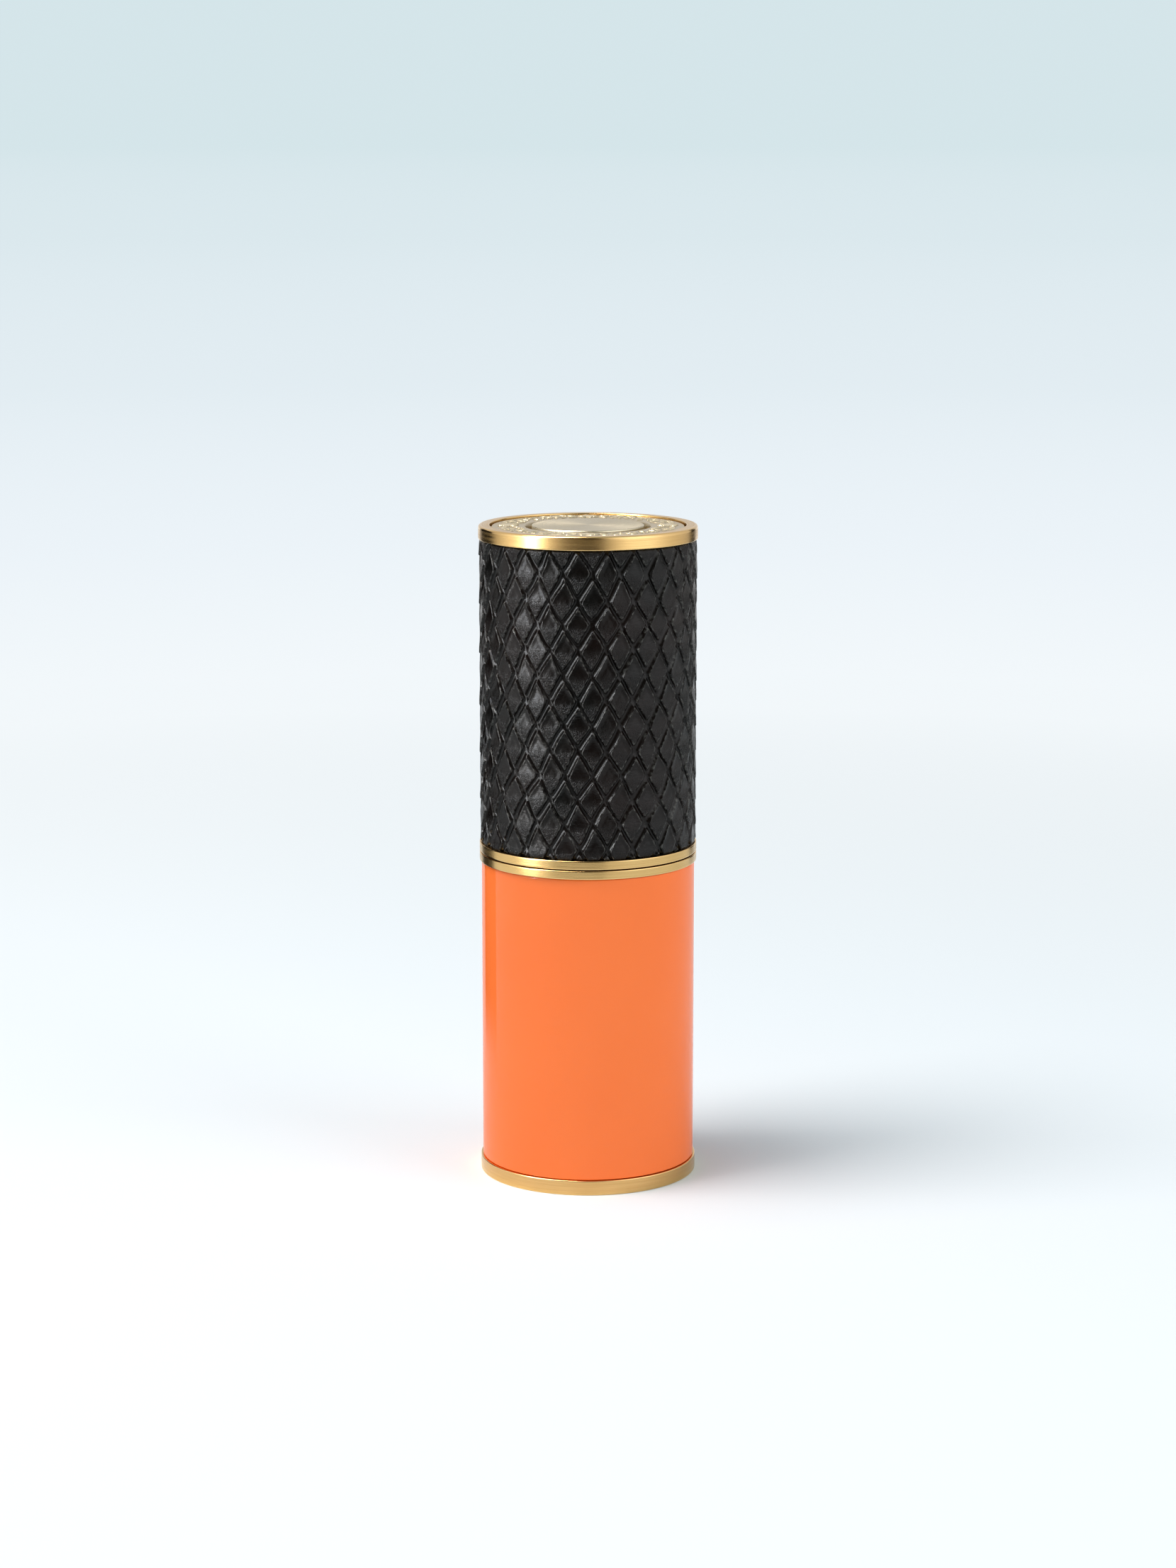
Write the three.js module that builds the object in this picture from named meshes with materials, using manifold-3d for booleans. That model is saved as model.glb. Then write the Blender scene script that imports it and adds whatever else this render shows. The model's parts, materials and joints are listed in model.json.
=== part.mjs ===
// Lipstick case: a refillable twist-up lipstick in a two-part round case.
// Millimetres, +Z up, origin in the middle of the face that the case stands on.

import * as THREE from 'three';
import { mergeVertices } from 'three/addons/utils/BufferGeometryUtils.js';
import Module from 'manifold-3d';

const wasm = await Module();
wasm.setup();

// ---------------------------------------------------------------- driving sizes

// Outside of the closed case, from the foot up. Its diameter follows from the stick and the walls.
const FOOT_RING_HEIGHT = 1.7;
const BASE_SHELL_HEIGHT = 35.1;
const COLLAR_RING_HEIGHT = 0.98;
const PARTING_GAP = 0.14;
const CAP_RING_HEIGHT = 1;
const WRAP_HEIGHT = 35;
const TOP_PAN_HEIGHT = 1.58;
const RING_CHAMFER = 0.12;

// Base
const SHELL_INSET = 0.23;
const SHELL_WALL = 0.6;
const FOOT_SPIGOT_WALL = 0.7;
const BOTTOM_RECESS = 0.4;
const BOTTOM_DISC_THICKNESS = 1;
const WEIGHT_HEIGHT = 4.5;
const WEIGHT_HOLE_DIAMETER = 4;
const SOCKET_WALL = 0.9;
const SOCKET_FLOOR = 1.2;
const SOCKET_FLANGE_HEIGHT = 1.6;
const COLLAR_SPIGOT_LENGTH = 3;
const CENTRING_RING_HEIGHT = 2.5;
const CENTRING_RING_WALL = 0.97;
const NECK_WALL = 0.4;
const NECK_HEIGHT = 2.6;
const BOTTOM_LABEL_MARGIN = 2.92;
const LABEL_THICKNESS = 0.12;

// Cap
const WRAP_INSET = 0.15;
const WRAP_WALL = 0.85;
const CAP_SHELL_WALL = 0.45;
const CAP_LINER_TOP = 0.8;
const PAN_FLOOR = 0.58;
const PAN_RIM_WIDTH = 1.3;
const PAN_SPIGOT_LENGTH = 0.72;
const PAN_SPIGOT_WALL = 0.95;
const ORNAMENT_WIDTH = 3.85;
const ORNAMENT_DROP = 0.15; // below the rim
const MEDALLION_GROOVE = 0.75;
const MEDALLION_DROP = 0.05; // below the rim

// Refill, sized round a standard stick
const BULLET_DIAMETER = 12.1;
const BULLET_LENGTH = 26.5;
const BULLET_DOME_HEIGHT = 7;
const BULLET_SLANT_DEGREES = 50;
const BULLET_SLANT_OFFSET = 1.2;
const TRAVEL = 20;
const TURNS = 1.5;
const CUP_WALL = 0.45;
const CUP_FLOOR = 0.75;
const CUP_HEIGHT = 8;
const LUG_DIAMETER = 1.6;
const LUG_HEIGHT = 1;
const LUG_REACH = 0.55;
const BODY_WALL = 0.85;
const BODY_BEAD = 0.45;
const BODY_BEAD_HEIGHT = 0.7;
const SPIRAL_WALL = 1.2;
const SPIRAL_FOOT = 2.8;
const GROOVE_DEPTH = 0.75;
const SLEEVE_WALL = 0.4;
const SLEEVE_LIP_THICKNESS = 0.6;
const BRAKE_THICKNESS = 0.8;
const REFILL_FOOT_FLOOR = 1.5;
const REFILL_FOOT_RIM = 1.3;
const REFILL_LABEL_RECESS = 0.25;
const REFILL_FOOT_STEP = 0.1;

// Clearances
const FIT_GAP = 0.05; // bonded and pressed pieces
const SEAT_GAP = 0.05; // pieces that stand on one another
const TURN_GAP = 0.15; // pieces that turn past one another
const SLIDE_GAP = 0.2; // pieces that slide past one another
const CAP_GAP = 0.35; // cap over the sleeve, radially
const LUG_GAP = 0.15; // lug in its groove, on each side
const SLOT_GAP = 0.1; // lug in its slot, on each side
const SLOT_END_GAP = 0.3;
const TIP_RECESS = 0.8; // stick below the sleeve's rim when it is wound down
const TIP_CLEARANCE = 0.6; // wound-up stick below the cap's ceiling

const FACETS = 36; // flats round every turned piece
const LUG_FACETS = 12;
const DOME_STEPS = 6;

// ------------------------------------------------------- radii, stick outwards

const bulletR = BULLET_DIAMETER / 2;
const cupBore = bulletR + FIT_GAP;
const cupR = cupBore + CUP_WALL;
const bodyBore = cupR + SLIDE_GAP;
const bodyR = bodyBore + BODY_WALL;
const spiralBore = bodyR + TURN_GAP;
const spiralR = spiralBore + SPIRAL_WALL;
const sleeveBore = spiralR + FIT_GAP;
const sleeveR = sleeveBore + SLEEVE_WALL;
const refillFootR = sleeveR + REFILL_FOOT_STEP;
const socketBore = refillFootR + SLIDE_GAP;
const socketR = socketBore + SOCKET_WALL;
const neckR = socketBore + NECK_WALL;
const spigotR = socketR + FIT_GAP + CENTRING_RING_WALL;
const footBore = spigotR - FOOT_SPIGOT_WALL;
const baseShellBore = spigotR + FIT_GAP;
const baseShellR = baseShellBore + SHELL_WALL;
const ringR = baseShellR + SHELL_INSET;

// ------------------------------------------------------- radii of the cap, inwards

const wrapR = ringR - WRAP_INSET;
const wrapBore = wrapR - WRAP_WALL;
const capShellR = wrapBore - FIT_GAP;
const capShellBore = capShellR - CAP_SHELL_WALL;
const capLinerR = capShellBore - FIT_GAP;
const capLinerBore = sleeveR + CAP_GAP;
const capMouthR = neckR + SLIDE_GAP;
const panBore = ringR - PAN_RIM_WIDTH;
const ornamentR = panBore - SLIDE_GAP;
const ornamentBore = ornamentR - ORNAMENT_WIDTH;
const medallionR = ornamentBore - MEDALLION_GROOVE;

// -------------------------------------------------------------- levels of the case

const footRingTop = FOOT_RING_HEIGHT;
const baseShellTop = footRingTop + BASE_SHELL_HEIGHT;
const collarTop = baseShellTop + COLLAR_RING_HEIGHT;
const neckTop = collarTop + NECK_HEIGHT;
const capBottom = collarTop + PARTING_GAP;
const capRingTop = capBottom + CAP_RING_HEIGHT;
const wrapTop = capRingTop + WRAP_HEIGHT;
const caseTop = wrapTop + TOP_PAN_HEIGHT;

const discTop = BOTTOM_RECESS + BOTTOM_DISC_THICKNESS;
const weightBottom = discTop + SEAT_GAP;
const weightTop = weightBottom + WEIGHT_HEIGHT;
const socketBottom = weightTop + SEAT_GAP;
const socketFloorTop = socketBottom + SOCKET_FLOOR;
const collarSpigotBottom = baseShellTop - COLLAR_SPIGOT_LENGTH;
const centringTop = collarSpigotBottom - SEAT_GAP;

const panFloorTop = wrapTop + PAN_FLOOR;
const panSpigotBottom = wrapTop - PAN_SPIGOT_LENGTH;
const capLinerTop = panSpigotBottom - SEAT_GAP;
const capCeiling = capLinerTop - CAP_LINER_TOP;

// ------------------------------------------- levels of the refill, wound fully down

const tipLevel = capCeiling - TIP_CLEARANCE - TRAVEL;
const bulletBottom = tipLevel - BULLET_LENGTH;
const cupBottom = bulletBottom - SEAT_GAP - CUP_FLOOR;
const lugLevel = cupBottom + LUG_HEIGHT;
const sleeveTop = tipLevel + TIP_RECESS;
const bodyTop = sleeveTop - SLEEVE_LIP_THICKNESS - TURN_GAP;
const spiralTop = bodyTop - BODY_BEAD_HEIGHT - TURN_GAP;
const spiralBottom = lugLevel - SPIRAL_FOOT;
const brakeTop = spiralBottom - TURN_GAP;
const brakeBottom = brakeTop - BRAKE_THICKNESS;
const refillFootTop = brakeBottom - SEAT_GAP;
const refillFootBottom = socketFloorTop + SEAT_GAP;
const bodyBottom = refillFootBottom + REFILL_FOOT_FLOOR + SEAT_GAP;
const sleeveBottom = refillFootTop + TURN_GAP;

// --------------------------------------------------------------------- materials

function material(color, roughness, metalness) {
  return new THREE.MeshStandardMaterial({ color, roughness, metalness });
}

const gold = material(0xcfa765, 0.28, 1);
const paleGold = material(0xc0baa4, 0.35, 1);
const orangeLacquer = material(0xff7a45, 0.2, 0.1);
const blackLeather = material(0x1c1c1a, 0.55, 0);
const aluminium = material(0xa9adb0, 0.4, 1);
const steel = material(0x8d9094, 0.45, 1);
const blackPlastic = material(0x151515, 0.5, 0);
const ivoryPlastic = material(0xe6e0d2, 0.5, 0);
const silicone = material(0xd8d8d4, 0.7, 0);
const paper = material(0xf2efe8, 0.8, 0);
const wax = material(0xb3352b, 0.45, 0);

// ------------------------------------------------------------------ making shapes

// A solid turned round Z. Its outline is a list of [radius, level] points, anticlockwise;
// it ends on the axis when its first point is on it, and closes on itself otherwise.
function turned(outline) {
  const points = outline.map(([radius, level]) => new THREE.Vector2(radius, level));
  if (outline[0][0] > 0) points.push(points[0].clone());
  return new THREE.LatheGeometry(points, FACETS).rotateX(Math.PI / 2);
}

function disc(radius, bottom, top) {
  return turned([[0, bottom], [radius, bottom], [radius, top], [0, top]]);
}

function tube(bore, radius, bottom, top) {
  return turned([[bore, bottom], [radius, bottom], [radius, top], [bore, top]]);
}

// The outside of a gold ring, from its lower to its upper edge
function ringOutside(bottom, top) {
  return [
    [ringR - RING_CHAMFER, bottom],
    [ringR, bottom + RING_CHAMFER],
    [ringR, top - RING_CHAMFER],
    [ringR - RING_CHAMFER, top],
  ];
}

function toSolid(geometry) {
  const bare = geometry.clone();
  bare.deleteAttribute('normal');
  bare.deleteAttribute('uv');
  const merged = mergeVertices(bare);
  const corners = merged.index.array;
  const faces = [];
  for (let i = 0; i < corners.length; i += 3) {
    const [a, b, c] = corners.slice(i, i + 3);
    if (a !== b && b !== c && c !== a) faces.push(a, b, c);
  }
  return new wasm.Manifold(new wasm.Mesh({
    numProp: 3,
    vertProperties: new Float32Array(merged.attributes.position.array),
    triVerts: new Uint32Array(faces),
  }));
}

function fromSolid(solid) {
  const mesh = solid.getMesh();
  const geometry = new THREE.BufferGeometry();
  geometry.setAttribute('position', new THREE.BufferAttribute(mesh.vertProperties, 3));
  geometry.setIndex(new THREE.BufferAttribute(mesh.triVerts, 1));
  geometry.computeVertexNormals();
  return geometry;
}

function cut(geometry, cutters) {
  const solid = cutters.reduce((rest, cutter) => rest.subtract(toSolid(cutter)), toSolid(geometry));
  return fromSolid(solid);
}

function join(geometries) {
  const solids = geometries.map(toSolid);
  return fromSolid(solids.reduce((whole, solid) => whole.add(solid)));
}

function piece(name, geometry, finish) {
  const mesh = new THREE.Mesh(geometry, finish);
  mesh.name = name;
  return mesh;
}

// -------------------------------------------------------------------------- base

function footRing() {
  const spigotTop = socketBottom - SEAT_GAP;
  return turned([
    [footBore, 0],
    ...ringOutside(0, footRingTop),
    [spigotR, footRingTop],
    [spigotR, spigotTop],
    [footBore, spigotTop],
  ]);
}

function baseWeight() {
  return tube(WEIGHT_HOLE_DIAMETER / 2, footBore - SLIDE_GAP, weightBottom, weightTop);
}

function baseLiner() {
  const flangeTop = socketBottom + SOCKET_FLANGE_HEIGHT;
  const top = baseShellTop - SEAT_GAP;
  return turned([
    [0, socketBottom],
    [spigotR, socketBottom],
    [spigotR, flangeTop],
    [socketR, flangeTop],
    [socketR, top],
    [socketBore, top],
    [socketBore, socketFloorTop],
    [0, socketFloorTop],
  ]);
}

function collarRing() {
  const spigotBore = socketR + FIT_GAP;
  return turned([
    [spigotBore, collarSpigotBottom],
    [spigotR, collarSpigotBottom],
    [spigotR, baseShellTop],
    ...ringOutside(baseShellTop, collarTop),
    [neckR, collarTop],
    [neckR, neckTop],
    [socketBore, neckTop],
    [socketBore, baseShellTop],
    [spigotBore, baseShellTop],
  ]);
}

function makeBase() {
  const base = new THREE.Group();
  const labelR = footBore - BOTTOM_LABEL_MARGIN;
  const labelTop = BOTTOM_RECESS - SEAT_GAP;
  const shellBottom = footRingTop + SEAT_GAP;
  const shellTop = baseShellTop - SEAT_GAP;
  const centringBottom = centringTop - CENTRING_RING_HEIGHT;
  base.add(
    piece('foot_ring', footRing(), gold),
    piece('bottom_disc', disc(footBore - FIT_GAP, BOTTOM_RECESS, discTop), blackPlastic),
    piece('bottom_label', disc(labelR, labelTop - LABEL_THICKNESS, labelTop), paper),
    piece('base_weight', baseWeight(), steel),
    piece('base_shell', tube(baseShellBore, baseShellR, shellBottom, shellTop), orangeLacquer),
    piece('base_liner', baseLiner(), blackPlastic),
    piece('centring_ring', tube(socketR + FIT_GAP, spigotR, centringBottom, centringTop), blackPlastic),
    piece('collar_ring', collarRing(), gold),
  );
  return base;
}

// ------------------------------------------------------------------------ refill

function refillFoot() {
  const recessR = refillFootR - REFILL_FOOT_RIM;
  const recessTop = refillFootBottom + REFILL_LABEL_RECESS;
  const floorTop = refillFootBottom + REFILL_FOOT_FLOOR;
  const bore = bodyR + FIT_GAP;
  return turned([
    [0, recessTop],
    [recessR, recessTop],
    [recessR, refillFootBottom],
    [refillFootR, refillFootBottom],
    [refillFootR, refillFootTop],
    [bore, refillFootTop],
    [bore, floorTop],
    [0, floorTop],
  ]);
}

// A tube with a bead round its top and a straight slot on each side for the cup's lugs
function innerBody() {
  const beadBottom = bodyTop - BODY_BEAD_HEIGHT;
  const beadR = spiralBore + BODY_BEAD;
  const blank = turned([
    [bodyBore, bodyBottom],
    [bodyR, bodyBottom],
    [bodyR, beadBottom],
    [beadR, beadBottom],
    [beadR, bodyTop],
    [bodyBore, bodyTop],
  ]);
  const slotWidth = LUG_DIAMETER + 2 * SLOT_GAP;
  const slotLength = TRAVEL + LUG_DIAMETER + 2 * SLOT_END_GAP;
  const slots = new THREE.BoxGeometry(2 * spiralR, slotWidth, slotLength);
  slots.translate(0, 0, lugLevel + TRAVEL / 2);
  return cut(blank, [slots]);
}

function makeRefill() {
  const refill = new THREE.Group();
  const labelR = refillFootR - REFILL_FOOT_RIM - SLIDE_GAP;
  const labelTop = refillFootBottom + REFILL_LABEL_RECESS - SEAT_GAP;
  const brakeBore = bodyR + TURN_GAP;
  const brakeR = spiralR - FIT_GAP;
  refill.add(
    piece('refill_foot', refillFoot(), blackPlastic),
    piece('refill_label', disc(labelR, labelTop - LABEL_THICKNESS, labelTop), paper),
    piece('inner_body', innerBody(), ivoryPlastic),
    piece('brake_ring', tube(brakeBore, brakeR, brakeBottom, brakeTop), silicone),
  );
  return refill;
}

// ------------------------------------------------------------------------ sleeve

// The space that a lug sweeps in the spiral: a box bent along a helix. It starts at the
// given angle and climbs the whole travel in the spiral's turns, with room at both ends.
function grooveCutter(startAngle) {
  const innerR = spiralBore - TURN_GAP / 2;
  const outerR = spiralBore + GROOVE_DEPTH;
  const endAngle = (LUG_DIAMETER / 2 + LUG_GAP) / spiralBore;
  const sweep = 2 * Math.PI * TURNS;
  const span = sweep + 2 * endAngle;
  const steps = Math.round(FACETS * TURNS);
  const box = new THREE.BoxGeometry(span, outerR - innerR, LUG_DIAMETER + 2 * LUG_GAP, steps);
  const corner = box.attributes.position;
  for (let i = 0; i < corner.count; i++) {
    const along = corner.getX(i) + sweep / 2;
    const radius = (innerR + outerR) / 2 - corner.getY(i);
    const level = lugLevel + (TRAVEL * along) / sweep + corner.getZ(i);
    const angle = startAngle + along;
    corner.setXYZ(i, radius * Math.cos(angle), radius * Math.sin(angle), level);
  }
  return box;
}

function spiral() {
  const blank = tube(spiralBore, spiralR, spiralBottom, spiralTop);
  return cut(blank, [grooveCutter(0), grooveCutter(Math.PI)]);
}

function guideSleeve() {
  const lipBore = cupR + SLIDE_GAP;
  const lipBottom = sleeveTop - SLEEVE_LIP_THICKNESS;
  return turned([
    [sleeveBore, sleeveBottom],
    [sleeveR, sleeveBottom],
    [sleeveR, sleeveTop],
    [lipBore, sleeveTop],
    [lipBore, lipBottom],
    [sleeveBore, lipBottom],
  ]);
}

function makeSleeve() {
  const sleeve = new THREE.Group();
  sleeve.add(
    piece('spiral', spiral(), ivoryPlastic),
    piece('guide_sleeve', guideSleeve(), gold),
  );
  return sleeve;
}

// ---------------------------------------------------------------------- carriage

function elevatorCup() {
  const cupTop = cupBottom + CUP_HEIGHT;
  const cupFloorTop = cupBottom + CUP_FLOOR;
  const cup = turned([
    [0, cupBottom],
    [cupR, cupBottom],
    [cupR, cupTop],
    [cupBore, cupTop],
    [cupBore, cupFloorTop],
    [0, cupFloorTop],
  ]);
  const lugEnd = spiralBore + LUG_REACH;
  const lugs = [-1, 1].map((side) => {
    const lug = new THREE.CylinderGeometry(LUG_DIAMETER / 2, LUG_DIAMETER / 2, lugEnd - cupBore, LUG_FACETS);
    lug.rotateZ(Math.PI / 2);
    lug.translate((side * (lugEnd + cupBore)) / 2, 0, lugLevel);
    return lug;
  });
  return join([cup, ...lugs]);
}

// A round stick with a domed end that is cut off at a slant
function bullet() {
  const shoulder = tipLevel - BULLET_DOME_HEIGHT;
  const outline = [[0, bulletBottom], [bulletR, bulletBottom]];
  for (let step = 0; step < DOME_STEPS; step++) {
    const angle = (step / DOME_STEPS) * (Math.PI / 2);
    outline.push([bulletR * Math.cos(angle), shoulder + BULLET_DOME_HEIGHT * Math.sin(angle)]);
  }
  outline.push([0, tipLevel]);
  const size = 4 * BULLET_DIAMETER;
  const slant = new THREE.BoxGeometry(size, size, size);
  slant.translate(0, 0, size / 2);
  slant.rotateX(THREE.MathUtils.degToRad(BULLET_SLANT_DEGREES));
  slant.translate(0, BULLET_SLANT_OFFSET, tipLevel);
  return cut(turned(outline), [slant]);
}

function makeCarriage() {
  const carriage = new THREE.Group();
  carriage.add(
    piece('elevator_cup', elevatorCup(), ivoryPlastic),
    piece('bullet', bullet(), wax),
  );
  return carriage;
}

// --------------------------------------------------------------------------- cap

function capRing() {
  return turned([
    [capMouthR, capBottom],
    ...ringOutside(capBottom, capRingTop),
    [capMouthR, capRingTop],
  ]);
}

function capLiner() {
  const bottom = capRingTop + SEAT_GAP;
  const mouthTop = neckTop + SLOT_END_GAP;
  return turned([
    [capMouthR, bottom],
    [capLinerR, bottom],
    [capLinerR, capLinerTop],
    [0, capLinerTop],
    [0, capCeiling],
    [capLinerBore, capCeiling],
    [capLinerBore, mouthTop],
    [capMouthR, mouthTop],
  ]);
}

// A shallow dish with a broad rim, and a spigot below that fits inside the cap shell
function topPan() {
  const spigotOutside = capShellBore - FIT_GAP;
  const spigotBore = spigotOutside - PAN_SPIGOT_WALL;
  return turned([
    [0, wrapTop],
    [spigotBore, wrapTop],
    [spigotBore, panSpigotBottom],
    [spigotOutside, panSpigotBottom],
    [spigotOutside, wrapTop],
    ...ringOutside(wrapTop, caseTop),
    [panBore, caseTop],
    [panBore, panFloorTop],
    [0, panFloorTop],
  ]);
}

function ornamentRing() {
  const bottom = panFloorTop + SEAT_GAP;
  const top = caseTop - ORNAMENT_DROP;
  return turned([
    [ornamentBore, bottom],
    [ornamentR, bottom],
    [ornamentR, top - RING_CHAMFER],
    [ornamentR - RING_CHAMFER, top],
    [ornamentBore + RING_CHAMFER, top],
    [ornamentBore, top - RING_CHAMFER],
  ]);
}

function medallion() {
  const bottom = panFloorTop + SEAT_GAP;
  const top = caseTop - MEDALLION_DROP;
  return turned([
    [0, bottom],
    [medallionR, bottom],
    [medallionR, top - RING_CHAMFER],
    [medallionR - RING_CHAMFER, top],
    [0, top],
  ]);
}

function makeCap() {
  const cap = new THREE.Group();
  const shellBottom = capRingTop + SEAT_GAP;
  const shellTop = wrapTop - SEAT_GAP;
  cap.add(
    piece('cap_ring', capRing(), gold),
    piece('cap_shell', tube(capShellBore, capShellR, shellBottom, shellTop), aluminium),
    piece('leather_wrap', tube(wrapBore, wrapR, shellBottom, shellTop), blackLeather),
    piece('cap_liner', capLiner(), blackPlastic),
    piece('top_pan', topPan(), gold),
    piece('ornament_ring', ornamentRing(), gold),
    piece('medallion', medallion(), paleGold),
  );
  return cap;
}

// ---------------------------------------------------------------------- assembly

const refill = makeRefill();
refill.add(makeSleeve(), makeCarriage(), makeCap());

const lipstickCase = new THREE.Group();
lipstickCase.name = 'lipstick_case';
lipstickCase.add(makeBase(), refill);

export default lipstickCase;
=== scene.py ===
"""Looks of the lipstick case: fine turned metal, lacquer, embossed leather and a relief band.

Lengths are in millimetres in this file and become metres in place(). Angles called azimuth
start at the front (-Y) and grow towards the right (+X).
"""

import json
import math

import bmesh
import bpy
import numpy as np
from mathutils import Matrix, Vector, noise

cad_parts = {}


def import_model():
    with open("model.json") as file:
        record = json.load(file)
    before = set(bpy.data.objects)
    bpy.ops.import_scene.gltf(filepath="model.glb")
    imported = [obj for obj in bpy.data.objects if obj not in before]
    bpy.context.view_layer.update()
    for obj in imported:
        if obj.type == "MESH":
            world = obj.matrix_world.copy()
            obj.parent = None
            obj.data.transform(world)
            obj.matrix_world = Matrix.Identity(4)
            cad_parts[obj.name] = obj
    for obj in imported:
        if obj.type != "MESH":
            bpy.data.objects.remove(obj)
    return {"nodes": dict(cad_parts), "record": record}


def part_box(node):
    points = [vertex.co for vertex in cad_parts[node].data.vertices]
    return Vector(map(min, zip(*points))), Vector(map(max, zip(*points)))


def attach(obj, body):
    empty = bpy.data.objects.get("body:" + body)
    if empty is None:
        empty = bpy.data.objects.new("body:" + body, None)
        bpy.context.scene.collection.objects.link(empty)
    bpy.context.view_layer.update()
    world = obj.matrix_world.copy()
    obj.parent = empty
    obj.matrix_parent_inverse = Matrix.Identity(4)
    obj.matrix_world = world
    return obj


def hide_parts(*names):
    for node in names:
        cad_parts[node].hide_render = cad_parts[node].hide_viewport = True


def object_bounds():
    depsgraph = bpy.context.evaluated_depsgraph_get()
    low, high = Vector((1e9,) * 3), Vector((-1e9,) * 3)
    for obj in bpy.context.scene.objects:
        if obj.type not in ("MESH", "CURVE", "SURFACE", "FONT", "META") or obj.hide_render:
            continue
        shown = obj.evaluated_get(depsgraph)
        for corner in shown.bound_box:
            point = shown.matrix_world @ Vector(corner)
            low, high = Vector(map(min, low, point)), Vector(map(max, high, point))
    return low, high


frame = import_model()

cad_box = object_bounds()

MM = 0.001
CASE_R = cad_box[1][0] / MM
CASE_TOP = cad_box[1][2] / MM

# ------------------------------------------------------------------------- turned pieces

# The CAD's turned pieces have 36 flats, with a corner at azimuth 0
FLATS = 36
SECTION_ANGLE = math.pi / FLATS / 2
TO_CORNER = math.cos(SECTION_ANGLE) / math.cos(math.pi / FLATS)

SEGMENTS = 192
LONGEST_CHAMFER = 0.2
ARC_STEPS = 4
SAME_PLACE = 0.01
IN_LINE = 0.002  # twice the area of a corner's triangle that counts as none
LONGEST_REACH = 0.4  # of an edge, from a corner to the start of its arc
SUPPORT = 0.03  # a flat stretch keeps its own shading up to here from its ends


def section(node):
    """A node's half section, as (radius, height) corners from a cut beside the corners."""
    bm = bmesh.new()
    bm.from_mesh(frame["nodes"][node].data)
    bmesh.ops.remove_doubles(bm, verts=bm.verts, dist=1e-7)
    outward = Vector((math.cos(SECTION_ANGLE), math.sin(SECTION_ANGLE), 0))
    cut = bmesh.ops.bisect_plane(
        bm,
        geom=bm.verts[:] + bm.edges[:] + bm.faces[:],
        plane_co=(0, 0, 0),
        plane_no=(-outward.y, outward.x, 0),
    )
    links = {}
    for edge in cut["geom_cut"]:
        if not isinstance(edge, bmesh.types.BMEdge):
            continue
        ends = sorted((vert.co.dot(outward) / MM, vert.co.z / MM) for vert in edge.verts)
        if on_axis(ends[1]):
            continue
        ends[0] = (max(ends[0][0], 0), ends[0][1])
        keys = [(round(r * TO_CORNER, 2), round(z, 2)) for r, z in ends]
        if keys[0] != keys[1]:
            links.setdefault(keys[0], []).append(keys[1])
            links.setdefault(keys[1], []).append(keys[0])
    bm.free()
    return without_chamfers(in_line_removed(chained(links)))


def chained(links):
    """The corners in order: from axis to axis, or all the way round."""
    loose_ends = [key for key, others in links.items() if len(others) == 1]
    walk = [min(loose_ends or links)]
    seen = set(walk)
    while True:
        onward = [key for key in links[walk[-1]] if key not in seen]
        if not onward:
            return walk
        walk.append(onward[0])
        seen.add(onward[0])


def neighbours(outline, i):
    return outline[i - 1], outline[i], outline[(i + 1) % len(outline)]


def on_axis(point):
    return point[0] < SAME_PLACE


def in_line_removed(outline):
    kept = []
    for i in range(len(outline)):
        (r0, z0), (r1, z1), (r2, z2) = neighbours(outline, i)
        turn = (r1 - r0) * (z2 - z1) - (z1 - z0) * (r2 - r1)
        if on_axis((r1, z1)) or abs(turn) > IN_LINE:
            kept.append((r1, z1))
    return kept


def without_chamfers(outline):
    """Short slanting edges become square corners again, to be rounded later."""
    kept = []
    skip = False
    for i, (r0, z0) in enumerate(outline):
        if skip:
            skip = False
            continue
        r1, z1 = outline[(i + 1) % len(outline)]
        slanting = min(abs(r1 - r0), abs(z1 - z0)) > SAME_PLACE
        if slanting and math.hypot(r1 - r0, z1 - z0) < LONGEST_CHAMFER:
            before = outline[i - 1]
            upright_first = abs(before[0] - r0) < SAME_PLACE
            kept.append((r0, z1) if upright_first else (r1, z0))
            skip = True
        else:
            kept.append((r0, z0))
    return kept


def rounded(outline, radius):
    """(radius, height, edge) points with arcs at the corners; edge is 1 on an arc."""
    points = []
    for i, corner in enumerate(outline):
        if on_axis(corner):
            points.append((*corner, 0))
            continue
        before, here, after = (Vector(p) for p in neighbours(outline, i))
        back, ahead = before - here, after - here
        reach = min(radius(*corner), LONGEST_REACH * back.length, LONGEST_REACH * ahead.length)
        start = here + back.normalized() * reach
        end = here + ahead.normalized() * reach
        support = min(SUPPORT, 0.05 * back.length, 0.05 * ahead.length)
        points.append((*(start + back.normalized() * support), 0))
        for step in range(ARC_STEPS + 1):
            t = step / ARC_STEPS
            arc = start * (1 - t) ** 2 + here * (2 * t * (1 - t)) + end * t**2
            points.append((*arc, 1))
        points.append((*(end + ahead.normalized() * support), 0))
    return points


def place(bm, name, smooth_angle=30):
    """A piece from mesh code in millimetres."""
    bmesh.ops.recalc_face_normals(bm, faces=bm.faces)
    bmesh.ops.scale(bm, vec=(MM, MM, MM), verts=bm.verts)
    mesh = bpy.data.meshes.new(name)
    bm.to_mesh(mesh)
    bm.free()
    mesh.shade_smooth()
    mesh.set_sharp_from_angle(angle=math.radians(smooth_angle))
    piece = bpy.data.objects.new(name, mesh)
    bpy.context.scene.collection.objects.link(piece)
    return piece


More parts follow.
